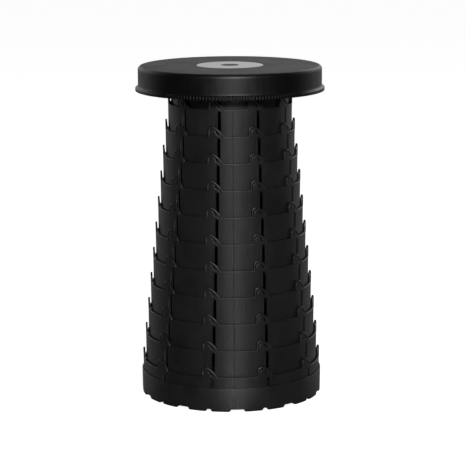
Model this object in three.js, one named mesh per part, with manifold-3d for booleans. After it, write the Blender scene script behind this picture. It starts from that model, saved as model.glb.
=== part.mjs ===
// Collapsible telescopic stool.
// Eleven conical rings and a collar nest inside one another. Pulled out, they stack into a
// column; pushed down, they drop into the foot of the stool and the seat closes over them
// like a lid. Every ring carries pegs near its lower edge that run in the upright slots of
// the ring outside it, and tabs on its upper edge that house the lock of the ring inside it.
// Millimetres, +Z up, origin on the floor at the column's axis, front of the stool at -Y.

import * as THREE from 'three';
import { mergeVertices } from 'three/addons/utils/BufferGeometryUtils.js';
import Module from 'manifold-3d';

const wasm = await Module();
wasm.setup();

// Driving dimensions, in millimetres.

// Foot of the stool.
const BASE_RADIUS = 123.4;
const BASE_DRAFT = 0.5;
const BASE_WALL = 1.5;
const BASE_HEIGHT = 32.2;
const FOOT_HEIGHT = 3.2;
const FOOT_SHELF = 2.7;
const FOOT_DEPTH = 5.8;
const NARROW_NOTCH = 9.2;
const WIDE_NOTCH = 21.5;
const NOTCH_SLOPE = 2.4;

// Rings of the column.
const RIM_PITCH = 35.3;
const RING_WALL = 2.2;
const RING_GAP = 1.56;
const RING_DRAFT = 0.5;
const RING_OVERLAP = 9.3;

// Slots and pegs.
const SLOT_WIDTH = 4;
const PEG_HEIGHT = 4;
const PEG_WEB = 0.8;

// Tabs on the upper edge of a ring, measured along the wall from the slot's middle.
const TAB_HEIGHT = 12.4;
const TAB_LEFT = 13.4;
const TAB_RIGHT = 8;

// Seat.
const SEAT_RISE = 16.7;
const SEAT_DEPTH = 32.7;
const SKIRT_WALL = 2.2;
const SKIRT_CLEARANCE = 0.5;
const SEAT_EDGE_RADIUS = 5;
const PLATE_THICKNESS = 2.6;
const LIP_STAND_OUT = 3.9;
const LIP_WALL = 2.3;
const LIP_HEIGHT = 3.1;
const LIP_FLARE = 2.7;
const INNER_CORNER_RADIUS = 2.4;

// Badge, let into the seat.
const BADGE_RADIUS = 45;
const BADGE_THICKNESS = 0.8;

// Collar, its flange and the screws that hold it to the seat.
const FLANGE_DROP = 12;
const FLANGE_THICKNESS = 2.5;
const FLANGE_WIDTH = 16;
const BOSS_RADIUS = 4.2;
const PILOT_RADIUS = 1.5;
const PILOT_DEPTH = 9;
const SCREW_RADIUS = 1.2;
const SCREW_REACH = 8;
const SCREW_HEAD_RADIUS = 3.4;
const SCREW_HEAD_HEIGHT = 2;
const SCREW_HOLE_RADIUS = 1.7;
const SOCKET_WIDTH = 0.9;
const SOCKET_DEPTH = 1.1;
const RIB_WIDTH = 1.8;
const RIB_HEIGHT = 8;
const HUB_RADIUS = 10;

// Clearances and overruns.
const FIT_GAP = 0.3;
const CUT_OVERRUN = 2;

// Counts.
const RING_COUNT = 11;
const SLOT_COUNT = 10;
const SCREW_COUNT = 6;
const FACETS_PER_PANEL = 5;
const SCREW_FACETS = 8;
const EDGE_STEPS = 3;
const CORNER_STEPS = 2;

// Angles, in degrees, seen from above, turning from the front of the stool to its right.
const TOP_SLOT_ANGLE = -9.1;
const SLOT_DRIFT = -0.23;
const FOOT_ANGLE = -2.3;

// The tab's edge from its left foot to its right foot. Each point is a share of the tab's
// left or right reach from the slot, and a share of its height.
const TAB_LEFT_SHARES = [
  [1, 0],
  [0.97, 0.6],
  [0.8, 0.92],
  [0.52, 1],
];
const TAB_RIGHT_SHARES = [
  [0, 0.66],
  [0.52, 0.16],
  [1, 0],
];

// Sizes worked out from the driving dimensions.
const FULL_TURN = 2 * Math.PI;
const SLOT_PITCH = FULL_TURN / SLOT_COUNT;
const ROUND_FACETS = FACETS_PER_PANEL * SLOT_COUNT;
const RING_STEP = RING_WALL + RING_GAP;
const RING_HEIGHT = RIM_PITCH + RING_OVERLAP;
const LAST_RING_RADIUS = BASE_RADIUS - BASE_WALL - FIT_GAP;
const LIP_Z = rimHeight(1) + SEAT_RISE;
const SEAT_TOP_Z = LIP_Z + SEAT_DEPTH;
const PLATE_BOTTOM_Z = SEAT_TOP_Z - PLATE_THICKNESS;
const SKIRT_INNER_RADIUS = LAST_RING_RADIUS + SKIRT_CLEARANCE;
const SKIRT_RADIUS = SKIRT_INNER_RADIUS + SKIRT_WALL;
const LIP_RADIUS = SKIRT_RADIUS + LIP_STAND_OUT;
const COLLAR_RADIUS = ringRadius(0);
const COLLAR_BOTTOM_Z = rimHeight(0) - RING_HEIGHT;
const FLANGE_TOP_Z = PLATE_BOTTOM_Z - FLANGE_DROP;
const SCREW_CIRCLE = COLLAR_RADIUS - RING_WALL - FLANGE_WIDTH / 2;

// Colours and finishes.
const blackPlastic = finish(0x1d1d1e, 0.5, 0);
const seatPlastic = finish(0x2a2a2b, 0.45, 0);
const badgeMetal = finish(0xa3a3a2, 0.35, 0.8);
const screwSteel = finish(0x8d9094, 0.35, 1);

function finish(color, roughness, metalness) {
  return new THREE.MeshStandardMaterial({ color, roughness, metalness });
}

// Ring 1 is the uppermost ring and ring 0 stands for the collar. The lowest ring stands on
// the shelf of the foot.
function rimHeight(ring) {
  return FOOT_SHELF + FIT_GAP + RING_HEIGHT + (RING_COUNT - ring) * RIM_PITCH;
}

function ringRadius(ring) {
  return LAST_RING_RADIUS - (RING_COUNT - ring) * RING_STEP;
}

function slotAngle(ring) {
  return THREE.MathUtils.degToRad(TOP_SLOT_ANGLE + (ring - 1) * SLOT_DRIFT);
}

// Where the thin web that closes an end of a slot has its inner face, measured to the
// middle of a facet at the foot of the wall.
function webRadius(ring) {
  return (ringRadius(ring) - RING_DRAFT) * Math.cos(FULL_TURN / ROUND_FACETS / 2) - PEG_WEB;
}

// Solids and meshes.

function solidOf(geometry) {
  const bare = geometry.clone();
  bare.deleteAttribute('normal');
  bare.deleteAttribute('uv');
  const merged = mergeVertices(bare);
  return new wasm.Manifold(new wasm.Mesh({
    numProp: 3,
    vertProperties: merged.attributes.position.array,
    triVerts: Uint32Array.from(merged.index.array),
  }));
}

function joined(solids) {
  return solids.reduce((whole, next) => whole.add(next));
}

function meshOf(name, solid, material) {
  const { numProp, vertProperties, triVerts } = solid.getMesh();
  const geometry = new THREE.BufferGeometry();
  geometry.setAttribute('position', new THREE.BufferAttribute(vertProperties, numProp));
  geometry.setIndex(new THREE.BufferAttribute(triVerts, 1));
  geometry.computeVertexNormals();
  const mesh = new THREE.Mesh(geometry, material);
  mesh.name = name;
  return mesh;
}

// A solid of revolution about +Z. The profile holds radius and height pairs, and runs
// upwards on the outside of the wall. One facet faces the given angle.
function turned(profile, angle = 0) {
  const points = profile.map(([radius, height]) => new THREE.Vector2(radius, height));
  const halfFacet = FULL_TURN / ROUND_FACETS / 2;
  const lathe = new THREE.LatheGeometry(points, ROUND_FACETS).rotateX(Math.PI / 2);
  return solidOf(lathe.rotateZ(angle + halfFacet));
}

// The same for a wall with a bore: its profile closes on itself.
function turnedRing(profile, angle) {
  return turned([...profile, profile[0]], angle);
}

// Turns a geometry so that its local -Y points out of the stool at this angle.
function facing(geometry, angle) {
  return geometry.rotateZ(angle);
}

// A block whose width runs along the wall, from one radius to another.
function radialBlock(angle, width, fromRadius, toRadius, fromZ, toZ) {
  const block = new THREE.BoxGeometry(width, toRadius - fromRadius, toZ - fromZ);
  block.translate(0, -(fromRadius + toRadius) / 2, (fromZ + toZ) / 2);
  return solidOf(facing(block, angle));
}

// A flat outline, drawn as seen from outside the stool, pushed through the wall.
function radialPrism(angle, outline, fromRadius, toRadius) {
  const shape = new THREE.Shape(outline.map(([across, up]) => new THREE.Vector2(across, up)));
  const prism = new THREE.ExtrudeGeometry(shape, {
    depth: toRadius - fromRadius,
    bevelEnabled: false,
  });
  prism.rotateX(Math.PI / 2).translate(0, -fromRadius, 0);
  return solidOf(facing(prism, angle));
}

function aroundSlots(firstAngle, makeOne) {
  return Array.from({ length: SLOT_COUNT }, (_, i) => makeOne(firstAngle + i * SLOT_PITCH));
}

// Rings.

// The wall is a little wider at its top than at its foot.
function ringWall(ring) {
  const topZ = rimHeight(ring) + TAB_HEIGHT;
  const bottomZ = rimHeight(ring) - RING_HEIGHT;
  const radius = ringRadius(ring);
  const foot = radius - RING_DRAFT;
  return turnedRing([
    [foot, bottomZ],
    [radius, topZ],
    [radius - RING_WALL, topZ],
    [foot - RING_WALL, bottomZ],
  ], slotAngle(ring));
}

// What is taken away above the plain rim, between the tab on the left of a panel and the
// tab on its right.
function tabGap(ring, panelAngle) {
  const radius = ringRadius(ring);
  const rimZ = rimHeight(ring);
  const half = SLOT_PITCH / 2;
  const place = (arc, side) => radius * Math.sin(side * half + arc / radius);
  const falling = TAB_RIGHT_SHARES.map(([along, up]) => [
    place(along * TAB_RIGHT, -1),
    rimZ + up * TAB_HEIGHT,
  ]);
  const rising = TAB_LEFT_SHARES.map(([along, up]) => [
    place(-along * TAB_LEFT, 1),
    rimZ + up * TAB_HEIGHT,
  ]);
  const peakArc = -TAB_LEFT_SHARES.at(-1)[0] * TAB_LEFT;
  const aboveZ = rimZ + TAB_HEIGHT + CUT_OVERRUN;
  const outline = [
    [place(peakArc, -1), aboveZ],
    [place(peakArc, -1), rimZ + TAB_HEIGHT],
    ...falling,
    ...rising,
    [place(peakArc, 1), aboveZ],
  ];
  return radialPrism(panelAngle, outline, radius * Math.cos(half) - RING_WALL - CUT_OVERRUN,
    radius + CUT_OVERRUN);
}

// The pegs of a ring stand in the upper ends of the slots of the ring outside it.
function pegs(ring) {
  const topZ = rimHeight(ring + 1);
  return aroundSlots(slotAngle(ring + 1), (angle) => radialBlock(
    angle, SLOT_WIDTH - 2 * FIT_GAP, webRadius(ring) + PEG_WEB / 2, webRadius(ring + 1) - FIT_GAP,
    topZ - PEG_HEIGHT, topZ,
  ));
}

// A slot is a groove on the inside of the wall, as long as the peg's travel.
function slotGroove(ring, angle) {
  const rimZ = rimHeight(ring);
  return radialBlock(angle, SLOT_WIDTH, ringRadius(ring) - RING_WALL - CUT_OVERRUN,
    webRadius(ring), rimZ - RIM_PITCH - PEG_HEIGHT - FIT_GAP, rimZ + FIT_GAP);
}

// The groove opens to the outside except at its ends. The web that is left at its upper end
// covers the peg of the ring inside, and the web at its lower end carries this ring's own peg.
function slotWindow(ring, angle) {
  const rimZ = rimHeight(ring);
  return radialBlock(angle, SLOT_WIDTH, ringRadius(ring) - RING_WALL - CUT_OVERRUN,
    ringRadius(ring) + CUT_OVERRUN, rimZ - RIM_PITCH, rimZ - PEG_HEIGHT);
}

function ringSolid(ring) {
  const slots = slotAngle(ring);
  const panels = slots + SLOT_PITCH / 2;
  const solid = ringWall(ring)
    .subtract(joined(aroundSlots(slots, (angle) => slotWindow(ring, angle))))
    .subtract(joined(aroundSlots(panels, (angle) => tabGap(ring, angle))))
    .subtract(joined(aroundSlots(slots, (angle) => slotGroove(ring, angle))));
  return ring < RING_COUNT ? joined([solid, ...pegs(ring)]) : solid;
}

// Foot of the stool: a plain band round the lowest ring, on twenty feet that carry it.

function footNotch(angle, width) {
  const low = width / 2;
  const high = low - NOTCH_SLOPE;
  const outline = [
    [-low, -CUT_OVERRUN],
    [low, -CUT_OVERRUN],
    [low, 0],
    [high, FOOT_HEIGHT],
    [-high, FOOT_HEIGHT],
    [-low, 0],
  ];
  return radialPrism(angle, outline, BASE_RADIUS - BASE_DRAFT - FOOT_DEPTH - CUT_OVERRUN,
    BASE_RADIUS + CUT_OVERRUN);
}

function baseSolid() {
  const foot = BASE_RADIUS - BASE_DRAFT;
  const band = turnedRing([
    [foot - FOOT_DEPTH, 0],
    [foot, 0],
    [BASE_RADIUS, BASE_HEIGHT],
    [BASE_RADIUS - BASE_WALL, BASE_HEIGHT],
    [foot - BASE_WALL, FOOT_SHELF],
    [foot - FOOT_DEPTH, FOOT_SHELF],
  ]);
  const wideAngle = THREE.MathUtils.degToRad(FOOT_ANGLE) + slotAngle(RING_COUNT) + SLOT_PITCH / 2;
  const narrowAngle = wideAngle - SLOT_PITCH / 2;
  return band.subtract(joined([
    ...aroundSlots(wideAngle, (angle) => footNotch(angle, WIDE_NOTCH)),
    ...aroundSlots(narrowAngle, (angle) => footNotch(angle, NARROW_NOTCH)),
  ]));
}

// Seat.

// A quarter circle from one direction to another, as radius and height pairs.
function cornerArc(centreRadius, centreZ, size, steps) {
  return Array.from({ length: steps + 1 }, (_, i) => {
    const turn = (i / steps) * Math.PI / 2;
    return [centreRadius + size * Math.cos(turn), centreZ + size * Math.sin(turn)];
  });
}

function seatShell() {
  const edgeRadius = SKIRT_RADIUS - SEAT_EDGE_RADIUS;
  const edgeZ = SEAT_TOP_Z - SEAT_EDGE_RADIUS;
  const recessRadius = BADGE_RADIUS + FIT_GAP;
  const recessZ = SEAT_TOP_Z - BADGE_THICKNESS - FIT_GAP;
  const bandTopZ = LIP_Z + LIP_HEIGHT;
  const lipInner = LIP_RADIUS - LIP_WALL;
  return turned([
    [0, PLATE_BOTTOM_Z],
    ...cornerArc(SKIRT_INNER_RADIUS - INNER_CORNER_RADIUS, PLATE_BOTTOM_Z - INNER_CORNER_RADIUS,
      INNER_CORNER_RADIUS, CORNER_STEPS).reverse(),
    [SKIRT_INNER_RADIUS, bandTopZ + LIP_FLARE - LIP_WALL],
    [lipInner, bandTopZ - LIP_WALL],
    [lipInner, LIP_Z],
    [LIP_RADIUS, LIP_Z],
    [LIP_RADIUS, bandTopZ],
    [SKIRT_RADIUS, bandTopZ + LIP_FLARE],
    ...cornerArc(edgeRadius, edgeZ, SEAT_EDGE_RADIUS, EDGE_STEPS),
    [recessRadius, SEAT_TOP_Z],
    [recessRadius, recessZ],
    [0, recessZ],
  ]);
}

function screwPlaces() {
  return Array.from({ length: SCREW_COUNT }, (_, i) => {
    const turn = ((i + 1 / 2) / SCREW_COUNT) * FULL_TURN;
    return [SCREW_CIRCLE * Math.cos(turn), SCREW_CIRCLE * Math.sin(turn)];
  });
}

function post([x, y], radius, fromZ, toZ, facets = SCREW_FACETS) {
  const cylinder = new THREE.CylinderGeometry(radius, radius, toZ - fromZ, facets);
  cylinder.rotateX(Math.PI / 2).translate(x, y, (fromZ + toZ) / 2);
  return solidOf(cylinder);
}

// Screw bosses and stiffening ribs under the plate, inside the collar.
function seatSolid() {
  const bossEndZ = FLANGE_TOP_Z;
  const rootZ = PLATE_BOTTOM_Z + FIT_GAP;
  const ribReach = SCREW_CIRCLE - FLANGE_WIDTH / 2 - FIT_GAP;
  const bosses = screwPlaces().map((place) => post(place, BOSS_RADIUS, bossEndZ, rootZ));
  const pilots = screwPlaces().map(
    (place) => post(place, PILOT_RADIUS, bossEndZ - CUT_OVERRUN, bossEndZ + PILOT_DEPTH),
  );
  const ribs = Array.from({ length: SCREW_COUNT }, (_, i) => radialBlock(
    i * FULL_TURN / SCREW_COUNT, RIB_WIDTH, HUB_RADIUS / 2, ribReach,
    PLATE_BOTTOM_Z - RIB_HEIGHT, rootZ,
  ));
  const hub = post([0, 0], HUB_RADIUS, PLATE_BOTTOM_Z - RIB_HEIGHT, rootZ, 2 * SCREW_FACETS);
  return joined([seatShell(), ...bosses, ...ribs, hub])
    .subtract(joined(pilots));
}

function badgeSolid() {
  const topZ = SEAT_TOP_Z;
  return turned([
    [0, topZ - BADGE_THICKNESS],
    [BADGE_RADIUS, topZ - BADGE_THICKNESS],
    [BADGE_RADIUS, topZ],
    [0, topZ],
  ]);
}

// The collar is the innermost ring. A flange inside it takes the screws.
function collarSolid() {
  const rimZ = rimHeight(0) - RING_OVERLAP;
  const foot = COLLAR_RADIUS - RING_DRAFT;
  const topZ = PLATE_BOTTOM_Z - FIT_GAP;
  const inner = COLLAR_RADIUS - RING_WALL;
  const wall = turnedRing([
    [foot, COLLAR_BOTTOM_Z],
    [COLLAR_RADIUS, rimZ],
    [COLLAR_RADIUS, topZ],
    [inner, topZ],
    [inner, FLANGE_TOP_Z - FIT_GAP],
    [inner - FLANGE_WIDTH, FLANGE_TOP_Z - FIT_GAP],
    [inner - FLANGE_WIDTH, FLANGE_TOP_Z - FIT_GAP - FLANGE_THICKNESS],
    [inner, FLANGE_TOP_Z - FIT_GAP - FLANGE_THICKNESS],
    [foot - RING_WALL, COLLAR_BOTTOM_Z],
  ]);
  const holes = screwPlaces().map((place) => post(place, SCREW_HOLE_RADIUS,
    FLANGE_TOP_Z - FIT_GAP - FLANGE_THICKNESS - CUT_OVERRUN, FLANGE_TOP_Z + CUT_OVERRUN));
  return joined([wall, ...pegs(0)]).subtract(joined(holes));
}

// A pan-head screw with a cross socket, driven upwards through the flange.
function screwSolid(place) {
  const seatZ = FLANGE_TOP_Z - 2 * FIT_GAP - FLANGE_THICKNESS;
  const headZ = seatZ - SCREW_HEAD_HEIGHT;
  const head = post(place, SCREW_HEAD_RADIUS, headZ, seatZ);
  const shank = post(place, SCREW_RADIUS, seatZ - SOCKET_DEPTH / 2, FLANGE_TOP_Z + SCREW_REACH);
  const reach = SCREW_HEAD_RADIUS;
  const cross = [0, Math.PI / 2].map((turn) => {
    const bar = new THREE.BoxGeometry(reach, SOCKET_WIDTH, SOCKET_DEPTH + CUT_OVERRUN);
    bar.rotateZ(turn).translate(place[0], place[1], headZ + (SOCKET_DEPTH - CUT_OVERRUN) / 2);
    return solidOf(bar);
  });
  return head.add(shank).subtract(joined(cross));
}

// The assembly.

const stool = new THREE.Group();
stool.add(meshOf('base_band', baseSolid(), blackPlastic));
for (let ring = RING_COUNT; ring >= 1; ring -= 1) {
  const name = `ring_${String(ring).padStart(2, '0')}`;
  stool.add(meshOf(name, ringSolid(ring), blackPlastic));
}
stool.add(meshOf('seat_collar', collarSolid(), blackPlastic));
stool.add(meshOf('seat_cover', seatSolid(), seatPlastic));
stool.add(meshOf('seat_badge', badgeSolid(), badgeMetal));
screwPlaces().forEach((place, i) => {
  stool.add(meshOf(`seat_screw_${i + 1}`, screwSolid(place), screwSteel));
});

export default stool;
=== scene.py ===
# %% [markdown]
# # A collapsible telescopic stool
#
# The stool is a column of eleven conical rings under a round seat. Each ring slides down
# into the ring outside it, and the seat closes over them all like a lid. It is moulded in
# black plastic. This file dresses the imported model of the stool: it replaces the plain
# facetted solids with round, moulded pieces and gives every piece its finish.
#
# The imported model comes first, because every piece sits where the model says. Its pieces
# stay in the scene, hidden, and the rings' heights are held against their boxes.

import bpy
import numpy as np
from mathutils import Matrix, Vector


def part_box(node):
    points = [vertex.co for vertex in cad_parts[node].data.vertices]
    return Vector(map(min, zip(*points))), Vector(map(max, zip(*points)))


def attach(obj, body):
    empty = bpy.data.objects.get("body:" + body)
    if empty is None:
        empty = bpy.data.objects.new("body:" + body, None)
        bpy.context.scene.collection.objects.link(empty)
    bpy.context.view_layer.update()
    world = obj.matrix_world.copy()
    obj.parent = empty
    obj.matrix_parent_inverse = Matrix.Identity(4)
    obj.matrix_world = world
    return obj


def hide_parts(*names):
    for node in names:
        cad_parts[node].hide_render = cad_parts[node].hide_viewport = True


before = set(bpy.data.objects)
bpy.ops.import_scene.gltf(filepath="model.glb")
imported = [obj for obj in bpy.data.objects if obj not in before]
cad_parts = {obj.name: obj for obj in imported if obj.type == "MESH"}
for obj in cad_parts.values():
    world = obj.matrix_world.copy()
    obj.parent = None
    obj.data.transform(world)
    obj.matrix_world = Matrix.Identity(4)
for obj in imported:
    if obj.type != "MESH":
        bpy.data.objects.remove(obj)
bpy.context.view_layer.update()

# %% [markdown]
# ## From numbers to a mesh
#
# Every piece here is worked out as numbers first: a surface is a table of points with rows
# and columns, and its faces join neighbours in the table. Lengths are in millimetres, as in
# a maker's drawing, and become metres only when they go into Blender.
#
# Three ways of making faces are enough for this stool. A wall with openings has an outer
# and an inner skin. A turned piece carries a profile round the axis. A short post or block
# is a stack of closed loops with a cap on each end.

# %% Angles and places round the stool
MILLIMETRE = 0.001
FULL_TURN = 2 * np.pi


def place_round(radius, angle, height):
    """Points at a radius and a height, at an angle that grows from the front to the right."""
    x = radius * np.sin(angle)
    y = -radius * np.cos(angle)
    return np.stack(np.broadcast_arrays(x, y, height), axis=-1)


def eased(value, start, stop):
    """Nought before start and one after stop, with a smooth S between them."""
    share = np.clip((value - start) / (stop - start), 0, 1)
    return share * share * (3 - 2 * share)


print("front of the stool:", place_round(100.0, 0.0, 0.0))


# %% Faces of a wall with openings
def wall_faces(outer, inner, kept):
    """The closed surface of a wall that runs round the stool.

    Outer and inner are tables of points whose columns close on themselves. A cell between
    two rows and two columns is wall where kept is true. Each cell of wall gets a face on
    both skins, and each edge between wall and opening a face across the thickness.
    """
    rows, columns = outer.shape[:2]
    here = np.arange(rows * columns).reshape(rows, columns)
    right = np.roll(here, -1, axis=1)
    behind = rows * columns
    skin = np.stack([here[:-1], right[:-1], right[1:], here[1:]], axis=-1)
    faces = [skin[kept], skin[kept][:, ::-1] + behind]

    capped = np.pad(kept, ((1, 1), (0, 0)))
    under, over = capped[:-1], capped[1:]
    across = np.stack([here, here + behind, right + behind, right], axis=-1)
    faces += [across[over & ~under], across[under & ~over][:, ::-1]]

    left = np.roll(kept, 1, axis=1)
    low, high = here[:-1], here[1:]
    side = np.stack([low, high, high + behind, low + behind], axis=-1)
    faces += [side[kept & ~left], side[left & ~kept][:, ::-1]]

    used, faces = np.unique(np.concatenate(faces), return_inverse=True)
    points = np.concatenate([outer.reshape(-1, 3), inner.reshape(-1, 3)])[used]
    return points, faces.reshape(-1, 4), np.zeros((0, 3), int)


skin = np.zeros((2, 8, 3))
print("faces of a tube with eight columns:", len(wall_faces(skin, skin, np.ones((1, 8), bool))[1]))


# %% Faces of turned pieces and of posts
def loop_faces(loops, joined=False):
    """Joins each loop of a stack to the next, point by point.

    The last loop joins the first, or both ends get a fan of triangles as a cap.
    """
    rows, columns = loops.shape[:2]
    here = np.arange(rows * columns).reshape(rows, columns)
    right = np.roll(here, -1, axis=1)
    points = loops.reshape(-1, 3)
    if joined:
        above = np.roll(here, -1, axis=0)
        quads = np.stack([here, right, np.roll(above, -1, axis=1), above], axis=-1)
        return outward(points, quads.reshape(-1, 4), np.zeros((0, 3), int))
    quads = np.stack([here[:-1], right[:-1], right[1:], here[1:]], axis=-1)
    ends = np.array([loops[0].mean(axis=0), loops[-1].mean(axis=0)])
    first, last = np.full(columns, len(points)), np.full(columns, len(points) + 1)
    caps = np.concatenate([
        np.stack([first, right[0], here[0]], axis=-1),
        np.stack([last, here[-1], right[-1]], axis=-1),
    ])
    return outward(np.concatenate([points, ends]), quads.reshape(-1, 4), caps)


def outward(points, quads, triangles):
    """Turns a closed surface inside out if its volume comes out below nought.

    The volume is the sum over all triangles of a times the cross product of b and c.
    """
    halves = np.concatenate([quads[:, [0, 1, 2]], quads[:, [0, 2, 3]], triangles])
    a, b, c = (points[halves[:, i]] for i in range(3))
    if np.einsum("ij,ij->i", a, np.cross(b, c)).sum() < 0:
        return points, quads[:, ::-1], triangles[:, ::-1]
    return points, quads, triangles


def turned(profile, columns, joined=False):
    """Carries a profile, a list of radii and heights, round the stool's axis."""
    radius, level = np.array(profile).T[:, :, None]
    angles = np.linspace(0, FULL_TURN, columns, endpoint=False)
    return loop_faces(place_round(radius, angles, level), joined)


disc = turned([(1, 0), (1, 1)], 8)
print("faces of a disc with eight sides:", sum(len(part) for part in disc[1:]))

# %% [markdown]
# A piece may be several closed surfaces, such as a wall and its pegs. They go into one mesh
# as whole arrays, which is much quicker than adding points one by one. Every piece sits at
# the origin with its place in its mesh, and rides on the body that the model gives it.

# %% Put faces into a piece
CREASE_ANGLE = 35


def make_piece(name, *surfaces, body, finish, slot, instead_of=()):
    """Puts closed surfaces into one object at the origin, which rides on a body.

    Edges stay sharp where two faces meet at more than the crease angle.
    """
    starts = np.cumsum([0] + [len(points) for points, _, _ in surfaces])
    points = np.concatenate([points for points, _, _ in surfaces]) * MILLIMETRE
    quads = np.concatenate([q + n for (_, q, _), n in zip(surfaces, starts)])
    triangles = np.concatenate([t + n for (_, _, t), n in zip(surfaces, starts)])
    mesh = bpy.data.meshes.new(name)
    mesh.vertices.add(len(points))
    mesh.vertices.foreach_set("co", points.ravel())
    corners = np.concatenate([quads.ravel(), triangles.ravel()])
    mesh.loops.add(len(corners))
    mesh.loops.foreach_set("vertex_index", corners.astype(np.int32))
    sizes = np.repeat([4, 3], [len(quads), len(triangles)])
    mesh.polygons.add(len(sizes))
    mesh.polygons.foreach_set("loop_start", (np.cumsum(sizes) - sizes).astype(np.int32))
    mesh.update(calc_edges=True)
    mesh.validate()
    mesh.shade_smooth()
    mesh.set_sharp_from_angle(angle=np.radians(CREASE_ANGLE))
    piece = bpy.data.objects.new(name, mesh)
    bpy.context.scene.collection.objects.link(piece)
    mesh.materials.append(finish)
    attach(piece, body)
    if instead_of:
        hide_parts(*instead_of)
    print(f"{name}: {len(points)} points, {2 * len(quads) + len(triangles)} triangles")


# %% [markdown]
# ## Finishes
#
# The real rings are cheap black polypropylene straight from the mould: nearly black, satin
# rather than glossy, with a fine grain, slightly uneven patches where the plastic cooled,
# and faint upright drag marks where the ring slid out of the tool and slides in its
# neighbours. All of this can be made with noise in the material: a slow one for the
# patches, a stretched one for the drag marks and a fine one for the grain. The noise reads
# the object's own coordinates, in metres, so it stays on the plastic when the stool folds.
# The sitting face gives a better hold than the sides, so above its rounded edge the plastic
# is rougher and more matt.

# %% Helpers for material nodes
def add_node(tree, kind, inputs=None, **settings):
    """Adds a node, joins its inputs to sockets or sets them to values, and sets its settings."""
    node = tree.nodes.new(kind)
    for key, value in settings.items():
        setattr(node, key, value)
    for key, value in (inputs or {}).items():
        if isinstance(value, bpy.types.NodeSocket):
            tree.links.new(value, node.inputs[key])
        else:
            node.inputs[key].default_value = value
    return node


def new_finish(name):
    """A material with a Principled shader, and a helper that adds nodes to it."""
    material = bpy.data.materials.new(name)
    material.use_nodes = True
    tree = material.node_tree

    def add(kind, inputs=None, **settings):
        return add_node(tree, kind, inputs, **settings)

    return material, tree, tree.nodes["Principled BSDF"], add


def stretched_noise(add, places, stretch, scale, detail):
    """Noise whose patches are long where stretch is small, between nought and one."""
    spread = add("ShaderNodeMapping", {"Vector": places, "Scale": stretch})
    noise = add("ShaderNodeTexNoise", {
        "Vector": spread.outputs["Vector"], "Scale": scale, "Detail": detail,
    })
    return noise.outputs["Fac"]


def mapped(add, value, low, high, to_low, to_high):
    """Carries a value from one range to another, and holds it there."""
    node = add("ShaderNodeMapRange", {
        "Value": value, "From Min": low, "From Max": high, "To Min": to_low, "To Max": to_high,
    })
    return node.outputs["Result"]


def combined(add, operation, first, second):
    """Two values added or multiplied, or the larger of the two."""
    return add("ShaderNodeMath", {0: first, 1: second}, operation=operation).outputs["Value"]


print("helpers for finishes:", stretched_noise.__name__, mapped.__name__, combined.__name__)

# %% Moulded black plastic
PATCHES_PER_METRE = 28
DRAGS_PER_METRE = 420
GRAINS_PER_METRE = 1700
RELIEF_DEPTH = 0.0002
MATT_ABOVE = 0.4499
MATT_EDGE = 0.0003
MATT_MORE = 0.2


def black_plastic(name, dark, light, smooth, rough, grain, matt_top=False):
    """Satin black plastic with cooling patches, upright drag marks and a fine grain.

    The grey goes from dark to light with the patches, and the roughness from smooth to rough
    with the patches times the drag marks.
    """
    material, tree, shader, add = new_finish(name)
    places = add("ShaderNodeTexCoord").outputs["Object"]
    patches = stretched_noise(add, places, (1, 1, 1), PATCHES_PER_METRE, 4)
    drag = stretched_noise(add, places, (1, 1, 0.03), DRAGS_PER_METRE, 3)
    fine = stretched_noise(add, places, (1, 1, 1), GRAINS_PER_METRE, 2)
    ramp = add("ShaderNodeValToRGB", {"Fac": patches})
    ramp.color_ramp.elements[0].position = 0.32
    ramp.color_ramp.elements[0].color = dark
    ramp.color_ramp.elements[1].position = 0.7
    ramp.color_ramp.elements[1].color = light
    tree.links.new(ramp.outputs["Color"], shader.inputs["Base Color"])
    uneven = combined(add, "MULTIPLY", patches, drag)
    roughness = mapped(add, uneven, 0.12, 0.4, smooth, rough)
    if matt_top:
        level = add("ShaderNodeSeparateXYZ", {"Vector": places}).outputs["Z"]
        more = mapped(add, level, MATT_ABOVE - MATT_EDGE, MATT_ABOVE, 0, MATT_MORE)
        roughness = combined(add, "ADD", roughness, more)
    tree.links.new(roughness, shader.inputs["Roughness"])
    marks = add("ShaderNodeBump", {"Height": drag, "Strength": 0.25, "Distance": RELIEF_DEPTH})
    skin = add("ShaderNodeBump", {
        "Height": fine, "Strength": grain, "Distance": RELIEF_DEPTH,
        "Normal": marks.outputs["Normal"],
    })
    tree.links.new(skin.outputs["Normal"], shader.inputs["Normal"])
    return material


ring_plastic = black_plastic("moulded_ring_plastic", (0.0072, 0.0072, 0.0074, 1),
                             (0.0108, 0.0108, 0.0111, 1), 0.38, 0.48, 0.25)
seat_plastic = black_plastic("moulded_seat_plastic", (0.0006, 0.0006, 0.0007, 1),
                             (0.001, 0.001, 0.0011, 1), 0.36, 0.46, 0.3, matt_top=True)
print("plastics:", ring_plastic.name, seat_plastic.name)

# %% [markdown]
# The badge in the seat is a thin plate of aluminium, brushed in circles and a little
# clouded by use. The screws under the seat are bright zinc-plated steel. Both are metals,
# so their colour is the colour of their reflections, and the brushing is a noise that is
# stretched along the way the brush went: for the badge that is round its middle, so the
# noise reads the distance from the middle alone.

# %% Brushed badge and plated screws
CLOUDS_PER_METRE = 60
BRUSH_MARKS_PER_METRE = 2600
ZINC_GRAINS_PER_METRE = 900


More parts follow.
